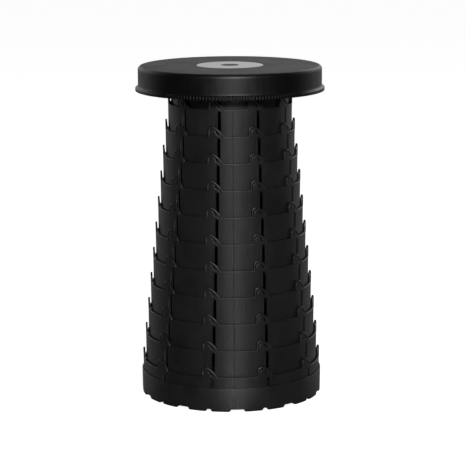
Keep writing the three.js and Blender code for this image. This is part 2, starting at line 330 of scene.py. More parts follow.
def metal(name, colour, roughness, brushed):
    """Metal with a fine texture, in rings round the stool's axis where it is brushed.

    The colour varies by a fifth in slow clouds, the roughness by 0.08 up and down.
    """
    material, tree, shader, add = new_finish(name)
    places = add("ShaderNodeTexCoord").outputs["Object"]
    shader.inputs["Metallic"].default_value = 1.0
    cloud = stretched_noise(add, places, (1, 1, 1), CLOUDS_PER_METRE, 4)
    if brushed:
        parts = add("ShaderNodeSeparateXYZ", {"Vector": places})
        flat = add("ShaderNodeCombineXYZ", {"X": parts.outputs["X"], "Y": parts.outputs["Y"]})
        radius = add("ShaderNodeVectorMath", {0: flat.outputs["Vector"]}, operation="LENGTH")
        turns = add("ShaderNodeTexNoise", {
            "W": radius.outputs["Value"], "Scale": BRUSH_MARKS_PER_METRE, "Detail": 3,
        }, noise_dimensions="1D")
        height = turns.outputs["Fac"]
    else:
        height = stretched_noise(add, places, (1, 1, 1), ZINC_GRAINS_PER_METRE, 3)
    ramp = add("ShaderNodeValToRGB", {"Fac": cloud})
    ramp.color_ramp.elements[0].color = [0.8 * part for part in colour] + [1]
    ramp.color_ramp.elements[1].color = [*colour, 1]
    tree.links.new(ramp.outputs["Color"], shader.inputs["Base Color"])
    tree.links.new(mapped(add, height, 0.3, 0.7, roughness - 0.08, roughness + 0.08),
                   shader.inputs["Roughness"])
    bump = add("ShaderNodeBump", {"Height": height, "Strength": 0.15, "Distance": 0.00005})
    tree.links.new(bump.outputs["Normal"], shader.inputs["Normal"])
    return material


badge_metal = metal("brushed_badge_metal", (0.66, 0.66, 0.66), 0.42, True)
screw_steel = metal("plated_screw_steel", (0.55, 0.56, 0.57), 0.32, False)
print("metals:", badge_metal.name, screw_steel.name)

# %% [markdown]
# ## The rings
#
# The eleven rings are the same part in growing sizes. Each has ten panels, and at every
# panel's edge an upright slot with a hooked tab over it. The tab has a raised bead along
# its edge, a round pocket with a boss in it, and a curved window beside the slot. All of
# these keep their size in millimetres from ring to ring: only the plain wall between the
# tabs grows.
#
# A ring could be cut out of a cone with booleans, but these leave ragged shading on a curved
# wall. Here the wall is one table of points instead. Its columns stand close together at a
# tab and far apart between tabs, its uppermost row follows the tab's outline, and relief
# moves each point of the outer skin outwards or inwards.

# %% Sizes of the rings
RING_COUNT = 11
PANEL_COUNT = 10
RIM_PITCH = 35.3
RING_WALL = 2.2
RING_DRAFT = 0.5
RING_STEP = 3.76
OUTER_RING_RADIUS = 121.6
LOWEST_RIM = 47.6
RING_BOTTOM = -44.6
TAB_HEIGHT = 12.4
FIRST_SLOT = -9.1
SLOT_SHIFT = -0.23
PANEL_ANGLE = FULL_TURN / PANEL_COUNT


def rim_height(ring):
    """Height of a ring's rim: one pitch more for each ring above the lowest."""
    return LOWEST_RIM + (RING_COUNT - ring) * RIM_PITCH


def ring_radius(ring):
    """Outer radius at the tabs' tips: one step less for each ring above the lowest."""
    return OUTER_RING_RADIUS - (RING_COUNT - ring) * RING_STEP


def slot_angle(ring):
    """Angle of a ring's first slot, which moves a little to the left from ring to ring."""
    return np.radians(FIRST_SLOT + SLOT_SHIFT * (ring - 1))


def node_name(ring):
    """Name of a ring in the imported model, from 1 at the top to 11 at the foot."""
    return f"ring_{ring:02d}"


for ring in range(1, RING_COUNT + 1):
    low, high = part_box(node_name(ring))
    assert abs(high.z - (rim_height(ring) + TAB_HEIGHT) * MILLIMETRE) < MILLIMETRE
    assert abs(low.z - (rim_height(ring) + RING_BOTTOM) * MILLIMETRE) < MILLIMETRE
print("uppermost and lowest rim:", rim_height(1), rim_height(RING_COUNT))

# %% [markdown]
# The tab's outline is a hook: upright on its left, round over the top, and a long slope
# down to the rim on its right. Seen from outside, places on it are given by the distance
# along the wall from the middle of the slot and by the height above the rim. Between the
# tabs the wall ends a millimetre below that height.

# %% Outline of a tab
PLAIN_RIM = -1.0
TAB_LEFT = -15.5
TAB_PEAK = -8.3
TAB_RIGHT = 6.8
SHOULDER = 5.4
SLOPE_POWER = 1.35


def tab_outline(along):
    """Height of a ring's upper edge.

    Left of the peak it is a quarter of an ellipse on an upright side, and right of it a
    quarter of an ellipse with a power below two, which draws the curve in.
    """
    across = np.clip((along - TAB_PEAK) / (TAB_PEAK - TAB_LEFT), -1, 0)
    left = SHOULDER + (TAB_HEIGHT - SHOULDER) * np.sqrt(1 - across ** 2)
    slope = np.clip((along - TAB_PEAK) / (TAB_RIGHT - TAB_PEAK), 0, 1)
    right = PLAIN_RIM + (TAB_HEIGHT - PLAIN_RIM) * (1 - slope ** SLOPE_POWER) ** (1 / SLOPE_POWER)
    return np.where(along < TAB_LEFT, PLAIN_RIM, np.where(along < TAB_PEAK, left, right))


trace = np.arange(-40, 40, 0.02)
side_trace = np.arange(PLAIN_RIM, SHOULDER, 0.02)
outline = np.concatenate([
    np.stack([trace, tab_outline(trace)], axis=-1),
    np.stack([np.full_like(side_trace, TAB_LEFT), side_trace], axis=-1),
])
print("outline of the tab and rim:", len(outline), "points")

# %% [markdown]
# The table's columns are listed once for all tabs. Columns stand closer together where the
# surface turns: at the tab's upright side, at the slot's edges and at the step beside the
# slot. The rows fall into three zones: the hidden foot of the wall, the slot, and the head
# with the tab, where the rows bend from the slot's slanting upper end to the outline. One
# more column, well away from the tab, stands for the whole plain wall.

# %% Columns and rows of the table
SLOT_HALF = 2.0
SLOT_BOTTOM = -RIM_PITCH
NOTCH_TOP = -39.7
STEP_LEFT = -5.25
STEP_SLOPE = 0.35
PLAIN_COLUMN = 20.0
SLOT_SHOULDER = SLOT_HALF + 0.5

slot_columns = np.array([SLOT_SHOULDER, SLOT_HALF + 0.2, SLOT_HALF])
side_columns = TAB_LEFT + np.array([-0.2, -0.01, 0, 0.12, 0.3, 0.5])
fixed_columns = np.array([
    *side_columns, STEP_LEFT - 0.5, STEP_LEFT - 0.3, STEP_LEFT,
    *-slot_columns, *slot_columns[::-1], TAB_RIGHT - 0.1, TAB_RIGHT, 8.5, 9.3,
])
even_columns = np.arange(TAB_LEFT + 1, 8.01, 0.5)
nearest = np.abs(even_columns[:, None] - fixed_columns).min(axis=1)
tab_columns = np.sort(np.concatenate([fixed_columns, even_columns[nearest > 0.15]]))
along_columns = np.append(tab_columns, PLAIN_COLUMN)

slot_head = np.interp(along_columns, [STEP_LEFT - STEP_SLOPE, -SLOT_SHOULDER, SLOT_SHOULDER, 4.0],
                      [-4.8, -2.7, -4.3, -4.8])
edge_height = tab_outline(along_columns)
foot_rows = np.array([RING_BOTTOM, RING_BOTTOM + 0.12, RING_BOTTOM + 0.45,
                      NOTCH_TOP, NOTCH_TOP + 0.1, SLOT_BOTTOM])
slot_shares = np.linspace(0, 1, 7)[1:]
head_shares = np.linspace(0, 1, 17)[1:]
edge_rows = np.array([2.5, 2.1, 1.6, 1.15, 0.7, 0.45, 0.25, 0.08, 0.0])

head_start = edge_height - 2.9
height = np.concatenate([
    np.repeat(foot_rows[:, None], len(along_columns), axis=1),
    foot_rows[-1] + slot_shares[:, None] * (slot_head - foot_rows[-1]),
    slot_head + head_shares[:, None] * (np.maximum(head_start, slot_head + 0.5) - slot_head),
    edge_height - edge_rows[:, None],
])
along = np.repeat(along_columns[None, :], len(height), axis=0)
print("table of a tab:", height.shape)

# %% [markdown]
# Three openings go through the wall at each tab: the slot, a curved window beside its upper
# end, and a notch in the ring's lower edge under the peg, which leaves the slot of the ring
# outside open to the dark inside. Their cells are left out of the table. The corners round
# the window are pulled onto its true outline, so that it has a clean edge instead of a stair.

# %% Openings in the wall
NOTCH = (-SLOT_SHOULDER, SLOT_HALF)
WINDOW_CENTRE = (-8.9, 1.0)
WINDOW_RADIUS = 7.0
NUDGE = 0.01


def window_distance(along, height):
    """Distance to the curved window's edge, below nought inside it.

    It is the distance to an arc from 8 to 60 degrees, less half the width of the band there,
    which thins towards its tip.
    """
    angle = np.degrees(np.arctan2(height - WINDOW_CENTRE[1], along - WINDOW_CENTRE[0]))
    held = np.clip(angle, 8, 60)
    half = np.interp(held, [8, 30, 60], [0.95, 0.85, 0.3])
    spine_s = WINDOW_CENTRE[0] + WINDOW_RADIUS * np.cos(np.radians(held))
    spine_z = WINDOW_CENTRE[1] + WINDOW_RADIUS * np.sin(np.radians(held))
    return np.hypot(along - spine_s, height - spine_z) - half


def cell_middle(table):
    """Middle of each cell: the mean of its four corners."""
    return (table[:-1, :-1] + table[1:, :-1] + table[:-1, 1:] + table[1:, 1:]) / 4


middle_s, middle_z = cell_middle(along), cell_middle(height)
first_head_row = len(foot_rows) + len(slot_shares) - 1
kept = np.ones((len(height) - 1, len(along_columns)), bool)
slot_cells = (along_columns[:-1] >= -SLOT_HALF) & (along_columns[1:] <= SLOT_HALF)
kept[len(foot_rows) - 1:first_head_row, :-1][:, slot_cells] = False
notch_cells = (along_columns[:-1] >= NOTCH[0]) & (along_columns[1:] <= NOTCH[1])
kept[:list(foot_rows).index(NOTCH_TOP), :-1][:, notch_cells] = False
kept[:, :-1][window_distance(middle_s, middle_z) < 0] = False

open_cell = ~kept[:, :-1]
open_cell[:first_head_row] = False
touched = np.zeros(height.shape, int)
for row_step in (0, 1):
    for column_step in (0, 1):
        rows = slice(row_step, row_step + open_cell.shape[0])
        columns = slice(column_step, column_step + open_cell.shape[1])
        touched[rows, columns] += open_cell
rim = (touched > 0) & (touched < 4)
for _ in range(3):
    gap = window_distance(along, height)
    slope_s = (window_distance(along + NUDGE, height) - gap) / NUDGE
    slope_z = (window_distance(along, height + NUDGE) - gap) / NUDGE
    size = np.maximum(slope_s ** 2 + slope_z ** 2, 0.2)
    along = np.where(rim, along - gap * slope_s / size, along)
    height = np.where(rim, height - gap * slope_z / size, height)
print("cells of the curved window:", int(open_cell.sum()))

# %% [markdown]
# The relief says how far each point of the outer skin stands out of the plain cone: the
# bead along the edge, the moat and the boss of the pocket, the bridge over the slot's upper
# end, and the sunk step at the slot's left. Edges are rounded as a mould leaves them.

# %% Relief of a panel
BEAD_WIDTH = 2.8
BEAD_TALL = 0.26
RIM_BEAD = 0.02
POCKET = (-7.8, 4.4)
MOAT_RADIUS = 4.3
MOAT_DEPTH = 0.3
BOSS_RADIUS = 3.0
BOSS_TALL = 0.06
BRIDGE = ((-4.3, 0.5), (1.4, -2.4))
BRIDGE_TALL = 0.12
STEP_DEPTHS = (0.45, 0.25)
STEP_TOP = -4.9
EDGE_ROUND = 0.7
FOOT_ROUND = 0.3


def rounded_edge(distance, radius):
    """How far a rounded edge falls back at a distance from the edge, by a quarter circle."""
    reach = np.clip(radius - distance, 0, radius)
    return radius - np.sqrt(radius ** 2 - reach ** 2)


def segment_distance(along, height, start, stop):
    """Distance to a straight line between two places on the wall.

    The nearest place is the foot of a perpendicular, held between the two ends.
    """
    way = np.subtract(stop, start)
    share = ((along - start[0]) * way[0] + (height - start[1]) * way[1]) / (way @ way)
    share = np.clip(share, 0, 1)
    return np.hypot(along - start[0] - share * way[0], height - start[1] - share * way[1])


places = np.stack([along, height], axis=-1).reshape(-1, 1, 2)
to_edge = np.concatenate([
    np.linalg.norm(part - outline, axis=-1).min(axis=1) for part in np.array_split(places, 40)
]).reshape(height.shape)

on_tab = eased(along, TAB_LEFT - 2, TAB_LEFT + 1) * (1 - eased(along, TAB_RIGHT - 2, TAB_RIGHT + 1))
bead = (RIM_BEAD + BEAD_TALL * on_tab) * np.sin(np.pi * np.clip(to_edge / BEAD_WIDTH, 0, 1)) ** 2

from_pocket = np.hypot(along - POCKET[0], height - POCKET[1])
bearing = np.degrees(np.arctan2(height - POCKET[1], along - POCKET[0])) % 360
moat_reach = eased(bearing, 60, 90) * (1 - eased(bearing, 195, 235))
moat = -MOAT_DEPTH * (1 - eased(np.abs(from_pocket - MOAT_RADIUS), 0.35, 0.95)) * moat_reach
boss = BOSS_TALL * np.clip(1 - (from_pocket / BOSS_RADIUS) ** 2, 0, 1)
bridge = BRIDGE_TALL * (1 - eased(segment_distance(along, height, *BRIDGE), 0.6, 1.3))

sunk = -np.interp(along, [STEP_LEFT, -SLOT_HALF], STEP_DEPTHS) * (along < 0)
sunk = sunk * eased(along, STEP_LEFT - STEP_SLOPE, STEP_LEFT)
sunk = sunk * (1 - eased(height, STEP_TOP - 1.6, STEP_TOP))
slot_edge = -rounded_edge(np.abs(np.abs(along) - SLOT_HALF), 0.25)
slot_edge = slot_edge * (height < slot_head + 0.01) * (height > SLOT_BOTTOM - 0.1)
window_edge = -rounded_edge(np.abs(window_distance(along, height)), 0.2)
foot_edge = -rounded_edge(height - RING_BOTTOM, FOOT_ROUND)

relief = bead + moat + boss + bridge + sunk + slot_edge + window_edge + foot_edge
relief = relief - rounded_edge(to_edge, EDGE_ROUND)
relief[:, -1] = (bead + foot_edge - rounded_edge(to_edge, EDGE_ROUND))[:, -1]
print("relief from", relief.min().round(2), "to", relief.max().round(2), "mm")

# %% [markdown]
# On the inside of the wall each slot is a groove that is a little longer than the opening,
# so that the peg of the ring inside can run in it without leaving the wall. A thin web
# closes the groove at both ends.

# %% Inner skin and pegs
WEB = 0.8
PEG_WIDTH = 3.4
PEG_TALL = 4.0
PEG_CORNER = 0.4
PEG_CHAMFER = 0.3
PEG_SHORT = 0.3
GROOVE_TOP = 0.3

in_groove = (np.abs(along) < SLOT_HALF + 0.05) & (height > NOTCH_TOP + 0.05) & (height < GROOVE_TOP)
wall = np.where(in_groove, WEB, RING_WALL)


def web_radius(ring):
    """Radius of a web's inner face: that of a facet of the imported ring's foot, less the web."""
    return (ring_radius(ring) - RING_DRAFT) * np.cos(PANEL_ANGLE / 10) - WEB


def post(outline, from_radius, to_radius, angle):
    """A short block that stands out of the wall, with its outer edge taken off.

    One outline is repeated at three radii, and the last is drawn in towards its middle.
    """
    outline = np.array(outline)
    middle = outline.mean(axis=0)
    reaches = np.array([from_radius, to_radius - PEG_CHAMFER, to_radius])
    shrink = np.array([1, 1, 0.8])
    flat = middle + (outline - middle) * shrink[:, None, None]
    loops = place_round(reaches[:, None], flat[..., 0] / reaches[:, None] + angle, flat[..., 1])
    return loop_faces(loops)


def pegs(ring, top):
    """The ten pegs of a ring, whose tops are at the rim of the ring outside.

    Each is a rectangle with its corners cut, from inside the wall into the slot outside.
    """
    half, low, cut = PEG_WIDTH / 2, top - PEG_TALL, PEG_CORNER
    outline = [(-half + cut, low), (half - cut, low), (half, low + cut), (half, top - cut),
               (half - cut, top), (-half + cut, top), (-half, top - cut), (-half, low + cut)]
    first = slot_angle(ring + 1)
    start, stop = web_radius(ring) + WEB / 2, web_radius(ring + 1) - PEG_SHORT
    return [post(outline, start, stop, first + i * PANEL_ANGLE) for i in range(PANEL_COUNT)]


print("peg of the uppermost ring reaches", round(web_radius(2) - PEG_SHORT, 2), "mm")

# %% [markdown]
# A thin upright line runs down the front of every ring, and one down the back: it is where
# the two halves of the mould met. It gets its own few columns.

# %% Build the rings
LINE_DEPTH = 1.1
LINE_FLOOR = 0.33
LINE_EDGE = 0.6
LINE_COLUMNS = np.array([-0.95, -0.6, -0.32, 0.32, 0.6, 0.95])
FIRST_LINE = 3.05
LINE_SHIFT = -0.045
PLAIN_SPACING = 4.5


def mould_line_angle(ring):
    """Angle of the front mould line, which moves a little to the left from ring to ring."""
    return np.radians(FIRST_LINE + LINE_SHIFT * (ring - 1))


def ring_columns(ring):
    """Angles of a ring's columns, and the column of the table that each one takes."""
    radius, first = ring_radius(ring), slot_angle(ring)
    lines = [mould_line_angle(ring), mould_line_angle(ring) + np.pi]
    angles, takes = [], []
    for panel in range(PANEL_COUNT):
        start = first + panel * PANEL_ANGLE
        angles.append(start + tab_columns / radius)
        takes.append(np.arange(len(tab_columns)))
        low = start + tab_columns[-1] / radius
        high = start + PANEL_ANGLE + tab_columns[0] / radius
        count = int((high - low) * radius / PLAIN_SPACING) + 1
        plain = np.linspace(low, high, count + 1)[1:-1]
        for line in lines:
            if low < line < high:
                plain = plain[np.abs(plain - line) * radius > 2]
                plain = np.sort(np.concatenate([plain, line + LINE_COLUMNS / radius]))
        angles.append(plain)
        takes.append(np.full(len(plain), len(tab_columns)))
    return np.concatenate(angles), np.concatenate(takes)


def mould_line(angles, ring):
    """A narrow groove at each mould line: a flat floor, and sides that ease up to nought."""
    depth = 0
    for line in (mould_line_angle(ring), mould_line_angle(ring) + np.pi):
        off = (angles - line) * ring_radius(ring)
        depth = depth - LINE_DEPTH * (1 - eased(np.abs(off), LINE_FLOOR, LINE_EDGE))
    return depth


def ring_wall(ring):
    """The wall of a ring: the table of a tab, taken ten times round a cone.

    The outer skin is the cone plus the relief and the mould lines, and the inner skin is the
    cone less the wall.
    """
    angles, takes = ring_columns(ring)
    radius = ring_radius(ring)
    turn = angles + (along[:, takes] - along_columns[takes]) / radius
    cone = radius + RING_DRAFT * (height[:, takes] - TAB_HEIGHT) / (TAB_HEIGHT - RING_BOTTOM)
    outer = cone + relief[:, takes] + mould_line(angles, ring)
    levels = rim_height(ring) + height[:, takes]
    return wall_faces(place_round(outer, turn, levels),
                      place_round(cone - wall[:, takes], turn, levels), kept[:, takes])


for ring in range(1, RING_COUNT + 1):
    studs = pegs(ring, rim_height(ring + 1)) if ring < RING_COUNT else []
    make_piece(f"{node_name(ring)}_moulded", ring_wall(ring), *studs, body=node_name(ring),
               finish=ring_plastic, instead_of=[node_name(ring)], slot="ring_plastic")

# %% [markdown]
# ## The foot
#
# The lowest ring stands in a plain smooth band on twenty low feet, with a wide and a narrow
# gap between them by turns. The band is a turned wall whose lower edge rises at each gap.
# The feet carry a shelf inside the band, on which the lowest ring stands.

# %% Lower edge of the foot
BASE_RADIUS = 123.4
BASE_HEIGHT = 32.2
BASE_WALL = 1.5
FOOT_HEIGHT = 3.2
FOOT_SHELF = 2.7
FOOT_DEPTH = 5.8
GAP_SLOPE = 2.4
GAP_WIDTHS = (9.2, 21.5)
GAP_SHIFT = -2.3

foot_radius = BASE_RADIUS - RING_DRAFT
narrow_angle = slot_angle(RING_COUNT) + np.radians(GAP_SHIFT)
gap_angles = narrow_angle + np.arange(2 * PANEL_COUNT) * PANEL_ANGLE / 2
gap_halves = np.tile(GAP_WIDTHS, PANEL_COUNT) / 2


def gap_columns(half):
    """Places across a gap: its two slopes, with rounded corners."""
    steps = np.array([-0.5, -0.15, 0.15, 0.6, GAP_SLOPE / 2, GAP_SLOPE - 0.6,
                      GAP_SLOPE - 0.15, GAP_SLOPE + 0.15, GAP_SLOPE + 0.5])
    return np.concatenate([-half + steps, np.linspace(-half + 4, half - 4, 3), half - steps[::-1]])


def lower_edge(off, half):
    """Height of the band's lower edge at a distance from a gap's middle.

    It eases from nought at the gap's end to the foot's height past the slope.
    """
    inside = half - np.abs(off)
    return FOOT_HEIGHT * eased(inside, -0.3, GAP_SLOPE + 0.3)


gap_places = [a + gap_columns(h) / foot_radius for a, h in zip(gap_angles, gap_halves)]
fill_places = [np.linspace(a[-1], b[0], 5)[1:-1] for a, b in
               zip(gap_places, gap_places[1:] + [gap_places[0] + FULL_TURN])]
base_angles = np.concatenate([np.concatenate(pair) for pair in zip(gap_places, fill_places)])
base_lift = np.zeros(len(base_angles))
for gap_angle, gap_half in zip(gap_angles, gap_halves):
    off = ((base_angles - gap_angle + np.pi) % FULL_TURN - np.pi) * foot_radius
    base_lift = np.maximum(base_lift, lower_edge(off, gap_half))
print("lower edge:", len(base_angles), "columns, lift", base_lift.min(), "to", base_lift.max())

# %% [markdown]
# The band's profile is a list of radii and heights, up the outside and down the inside. Only
# its lowest points follow the feet; a row close above the gaps keeps the wall smooth there.

# %% Build the foot
ABOVE_GAPS = 5.0
above_radius = foot_radius + RING_DRAFT * ABOVE_GAPS / BASE_HEIGHT
foot_inner = foot_radius - BASE_WALL
top_inner = BASE_RADIUS - BASE_WALL
band_radius, band_level, follows_feet = np.array([
    (foot_radius - 0.45, 0, 1), (foot_radius - 0.12, 0.12, 1), (foot_radius, 0.5, 1),
    (above_radius, ABOVE_GAPS, 0), (BASE_RADIUS, BASE_HEIGHT - 0.6, 0),
    (BASE_RADIUS - 0.08, BASE_HEIGHT - 0.3, 0), (BASE_RADIUS - 0.3, BASE_HEIGHT - 0.08, 0),
    (BASE_RADIUS - 0.6, BASE_HEIGHT, 0), (top_inner + 0.3, BASE_HEIGHT, 0),
    (top_inner, BASE_HEIGHT - 0.3, 0), (above_radius - BASE_WALL, ABOVE_GAPS, 0),
    (foot_inner, 0.3, 1), (foot_inner + 0.3, 0, 1),
]).T[:, :, None]
band = place_round(band_radius, base_angles, band_level + follows_feet * base_lift)


def foot_block(start, stop):
    """One foot under the shelf. Its ends lean as the gaps' sides do."""
    inner, outer = foot_radius - FOOT_DEPTH, foot_inner + 0.4
    share = np.linspace(0, 1, 9)
    lean = GAP_SLOPE * FOOT_SHELF / FOOT_HEIGHT / foot_radius
    corners = [(inner + 0.4, 0, 0), (outer, 0, 0), (outer, FOOT_SHELF, lean),
               (inner + 0.4, FOOT_SHELF, lean), (inner, FOOT_SHELF - 0.4, lean), (inner, 0.4, 0)]
    radius, level, wider = np.array(corners).T
    low, high = start - wider, stop + wider
    turn = low + share[:, None] * (high - low)
    return loop_faces(place_round(radius, turn, np.broadcast_to(level, turn.shape)))


starts = gap_angles + gap_halves / foot_radius
stops = np.append(gap_angles[1:], gap_angles[0] + FULL_TURN)
stops = stops - np.roll(gap_halves, -1) / foot_radius
feet = [foot_block(start, stop) for start, stop in zip(starts, stops)]
make_piece("base_band_moulded", loop_faces(band, joined=True), *feet, body="base",
           finish=ring_plastic, instead_of=["base_band"], slot="ring_plastic")

# %% [markdown]
# ## The seat
#
# The seat is a lid: a flat disc with a rounded edge, a short skirt, and a lip that stands
# out round its lower edge. The whole seat is one profile turned round the axis: it starts
# under the disc, runs down inside the skirt, round the lip, up the outside and over the top
# to the middle, where the badge is let in.

# %% Profile of the seat
SEAT_TOP = 450.0
SKIRT_RADIUS = 124.3
SEAT_ROUND = 5.0
SEAT_WALL = 2.2
PLATE_BOTTOM = 447.4
LIP_RADIUS = 127.9
LIP_INNER = 123.9
LIP_BOTTOM = 416.6
LIP_TOP = 420.4
FLARE_TOP = 423.4
BADGE_RADIUS = 45.0
BADGE_SEAT = 448.9


def arc(centre_r, centre_z, size, start, stop, steps):
    """Part of a circle, from one angle to another in degrees, as radius and height."""
    turn = np.radians(np.linspace(start, stop, steps + 1))
    return np.stack([centre_r + size * np.cos(turn), centre_z + size * np.sin(turn)], axis=-1)


def swept_step(from_r, from_z, to_r, to_z, steps):
    """A smooth S from one radius and height to another."""
    share = np.linspace(0, 1, steps + 1)
    return np.stack([from_r + (to_r - from_r) * eased(share, 0, 1),
                     from_z + (to_z - from_z) * share], axis=-1)


def straight(from_r, from_z, to_r, to_z, steps):
    """Evenly spaced points on a straight line."""
    share = np.linspace(0, 1, steps + 1)[:, None]
    return np.array([from_r, from_z]) + share * np.array([to_r - from_r, to_z - from_z])


skirt_inner = SKIRT_RADIUS - SEAT_WALL
inside_parts = [
    straight(10, PLATE_BOTTOM, 118, PLATE_BOTTOM, 6),
    arc(skirt_inner - 2.4, PLATE_BOTTOM - 2.4, 2.4, 90, 0, 5),
    straight(skirt_inner, 443, skirt_inner, 422.8, 3),
    swept_step(skirt_inner, 421.6, LIP_INNER, 419.4, 6),
    straight(LIP_INNER, 418.9, LIP_INNER, LIP_BOTTOM + 0.4, 2),
]
outside_parts = [
    arc(LIP_INNER + 0.4, LIP_BOTTOM + 0.4, 0.4, 180, 270, 3)[1:],
    arc(LIP_RADIUS - 0.5, LIP_BOTTOM + 0.5, 0.5, -90, 0, 4),
    straight(LIP_RADIUS, 418.0, LIP_RADIUS, LIP_TOP - 0.3, 4),
    swept_step(LIP_RADIUS, LIP_TOP, SKIRT_RADIUS, FLARE_TOP, 12),
    straight(SKIRT_RADIUS, 425, SKIRT_RADIUS, 443.6, 4),
    arc(SKIRT_RADIUS - SEAT_ROUND, SEAT_TOP - SEAT_ROUND, SEAT_ROUND, 0, 90, 12),
    straight(118, SEAT_TOP, 46.5, SEAT_TOP, 8),
    arc(45.9, SEAT_TOP - 0.3, 0.3, 90, 180, 3),
    straight(45.4, BADGE_SEAT, 12, BADGE_SEAT, 3),
]
seat_profile = np.concatenate(inside_parts + outside_parts)
print("profile of the seat:", len(seat_profile), "points")

# %% [markdown]
# Fine upright teeth on the lip give the fingers a hold when the seat is turned to lock the
# stool. They run over the front and the back of the lip. Modelling each tooth as a block
# would leave seams, so the gaps between the teeth are pressed into the lip instead, by moving
# its points inwards, and each tooth keeps a rounded crown.

# %% Teeth and build
TEETH_ROUND = 182
TEETH_IN_ARC = 43
TOOTH_FLOOR = 124.9
TOOTH_HALF = 0.33
CROWN_SHARE = 0.3
COLUMNS_PER_TOOTH = 12
TEETH_MIDDLE = np.radians(1.5)

tooth_angle = FULL_TURN / TEETH_ROUND
half_arc = TEETH_IN_ARC * tooth_angle / 2
grip = np.linspace(-half_arc, half_arc, TEETH_IN_ARC * COLUMNS_PER_TOOTH + 1)
plain_side = np.linspace(half_arc, np.pi - half_arc, 49)[1:-1]
seat_angles = TEETH_MIDDLE + np.concatenate([grip, plain_side, grip + np.pi, plain_side + np.pi])

across = np.abs(((grip + half_arc) / tooth_angle + 0.5) % 1 - 0.5)
crown = CROWN_SHARE * (1 - np.sqrt(1 - np.clip(across / TOOTH_HALF, 0, 1) ** 2))
groove = crown + (1 - crown) * eased(across, TOOTH_HALF - 0.02, TOOTH_HALF + 0.06)
tooth = np.concatenate([groove, 0 * plain_side, groove, 0 * plain_side])
radius, level = seat_profile.T
outside = np.arange(len(radius)) >= sum(len(part) for part in inside_parts)
above_groove = np.where(outside, np.clip(radius - TOOTH_FLOOR, 0, None), 0)
seat_radius = radius[:, None] - above_groove[:, None] * tooth
seat_surface = loop_faces(place_round(seat_radius, seat_angles,
                                      np.broadcast_to(level[:, None], seat_radius.shape)))
make_piece("seat_cover_moulded", seat_surface, body="seat", finish=seat_plastic,
           instead_of=["seat_cover"], slot="seat_plastic")

# %% [markdown]
# Under the seat, six ribs run out from a hub and stiffen the disc, and six posts take the
# screws that come up through the collar's flange. They are hidden when the stool stands,
# but show when it is turned over.

# %% Ribs, hub and posts under the seat
SCREW_COUNT = 6
SCREW_CIRCLE = 70.04
RIB_BOTTOM = 439.4
INTO_PLATE = 447.7
FLANGE_TOP = 435.4


def column_of_loops(x, y, radii, levels, columns=32):
    """A round post: one loop for each radius and height."""
    turn = np.linspace(0, FULL_TURN, columns, endpoint=False)
    radii, levels = np.array(radii)[:, None], np.array(levels)[:, None]
    points = np.broadcast_arrays(x + radii * np.cos(turn), y + radii * np.sin(turn), levels)
    return loop_faces(np.stack(points, axis=-1))


def rib(turn):
    """A straight rib from the hub outwards, a little thinner at its free edge."""
    across = np.array([0.7, 0.9, 0.9, -0.9, -0.9, -0.7])
    level = np.array([RIB_BOTTOM, RIB_BOTTOM + 0.3, INTO_PLATE, INTO_PLATE, RIB_BOTTOM + 0.3,
                      RIB_BOTTOM])
    out = np.array([8.0, 35.0, 61.4, 61.7])[:, None]
    inset = np.array([1, 1, 1, 0.7])[:, None]
    x = out * np.cos(turn) - inset * across * np.sin(turn)
    y = out * np.sin(turn) + inset * across * np.cos(turn)
    return loop_faces(np.stack(np.broadcast_arrays(x, y, level), axis=-1))


screw_turns = (np.arange(SCREW_COUNT) + 0.5) / SCREW_COUNT * FULL_TURN
screw_places = [(SCREW_CIRCLE * np.cos(t), SCREW_CIRCLE * np.sin(t)) for t in screw_turns]
post_levels = [FLANGE_TOP, FLANGE_TOP, FLANGE_TOP + 0.3, INTO_PLATE]
posts = [column_of_loops(x, y, [1.5, 3.9, 4.2, 4.5], post_levels) for x, y in screw_places]
hub = column_of_loops(0, 0, [4.0, 4.3, 9.7, 10.0, 10.3],
                      [RIB_BOTTOM + 3, RIB_BOTTOM, RIB_BOTTOM, RIB_BOTTOM + 0.3, INTO_PLATE], 48)
ribs = [rib(i * FULL_TURN / SCREW_COUNT) for i in range(SCREW_COUNT)]
make_piece("seat_cover_ribs", *posts, hub, *ribs, body="seat", finish=seat_plastic,
           slot="seat_plastic")

# %% [markdown]
# The collar is the innermost ring. It is screwed to the seat and closes the column under
# it, so only a narrow dark strip of it shows between the seat's lip and the first ring. It
# has pegs and notches as the rings have, but no tabs, so its table of points is small.

# %% Build the collar
COLLAR_RADIUS = OUTER_RING_RADIUS - RING_COUNT * RING_STEP
COLLAR_RIM = rim_height(0)
COLLAR_ROUND = 0.45
COLLAR_GAP = 0.3
FLANGE_WIDTH = 16.0
FLANGE_TALL = 2.5

collar_top = PLATE_BOTTOM - COLLAR_GAP
collar_inner = COLLAR_RADIUS - RING_WALL
flange_top = FLANGE_TOP - COLLAR_GAP
under_flange = flange_top - FLANGE_TALL

collar_rows = np.array([*(COLLAR_RIM + foot_rows), COLLAR_RIM, collar_top - 0.3, collar_top])
edge_back = np.array([*rounded_edge(np.array([0, 0.12]), COLLAR_ROUND), 0, 0, 0, 0, 0, 0, 0.3])
lean = RING_DRAFT * (1 - eased(collar_rows, COLLAR_RIM + RING_BOTTOM, COLLAR_RIM))
collar_line = COLLAR_RADIUS - lean
plain_columns = np.linspace(NOTCH[1] + 3, PANEL_ANGLE * COLLAR_RADIUS - 5, 22)
notch_columns = np.concatenate([NOTCH, plain_columns]) / COLLAR_RADIUS
panel_starts = slot_angle(0) + np.arange(PANEL_COUNT)[:, None] * PANEL_ANGLE
collar_angles = (panel_starts + notch_columns).ravel()
collar_kept = np.ones((len(collar_rows) - 1, len(collar_angles)), bool)
collar_kept[:3, ::len(notch_columns)] = False
collar_outer, collar_inside = (
    place_round((collar_line - back)[:, None], collar_angles, collar_rows[:, None])
    for back in (edge_back, RING_WALL)
)
